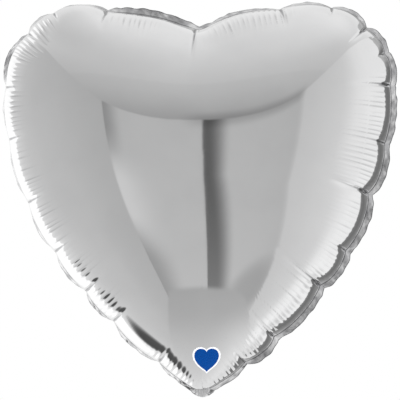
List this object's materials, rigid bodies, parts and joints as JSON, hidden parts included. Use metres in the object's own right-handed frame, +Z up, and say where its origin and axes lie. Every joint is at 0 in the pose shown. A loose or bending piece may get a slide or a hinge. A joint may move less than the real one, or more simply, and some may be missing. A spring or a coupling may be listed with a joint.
{
  "type": "heart foil balloon",
  "caption": "Inflated heart-shaped foil balloon: two domed film panels welded at a flat margin, with a self-sealing valve and a tail that folds up behind the tip.",
  "frame": {"origin": "bottom of the tip, where the tail folds and the ribbon is tied", "axes": "+X to the right seen from the front, -Y out of the front panel, +Z up from the tip to the notch"},
  "size_m": [0.3904, 0.189, 0.3875],
  "materials": {
    "silver_film": "vacuum-metallised silver film, mirror bright",
    "welded_film": "heat-sealed silver film, finely crumpled",
    "clear_film": "clear polyethylene film, slightly milky"
  },
  "bodies": {
    "heart": {"front_panel": "silver_film", "back_panel": "silver_film", "edge_seal": "welded_film"},
    "tail": {"tail_front_ply": "silver_film", "tail_back_ply": "silver_film", "tail_valve_front_film": "clear_film", "tail_valve_back_film": "clear_film", "tail_seal_left": "welded_film", "tail_seal_right": "welded_film"},
    "valve": {"valve_front_film": "clear_film", "valve_back_film": "clear_film", "valve_weld_left": "clear_film", "valve_weld_right": "clear_film"}
  },
  "joints": [
    {"name": "tail_fold", "type": "hinge", "parent": "heart", "child": "tail", "pos_m": [0, 0, -0.001], "axis": [1, 0, 0], "range_deg": [-165, 3]},
    {"name": "valve_sway", "type": "hinge", "parent": "heart", "child": "valve", "pos_m": [0, 0, 0.01], "axis": [1, 0, 0], "range_deg": [-12, 12], "stiffness_Nm_per_rad": 0.004}
  ]
}
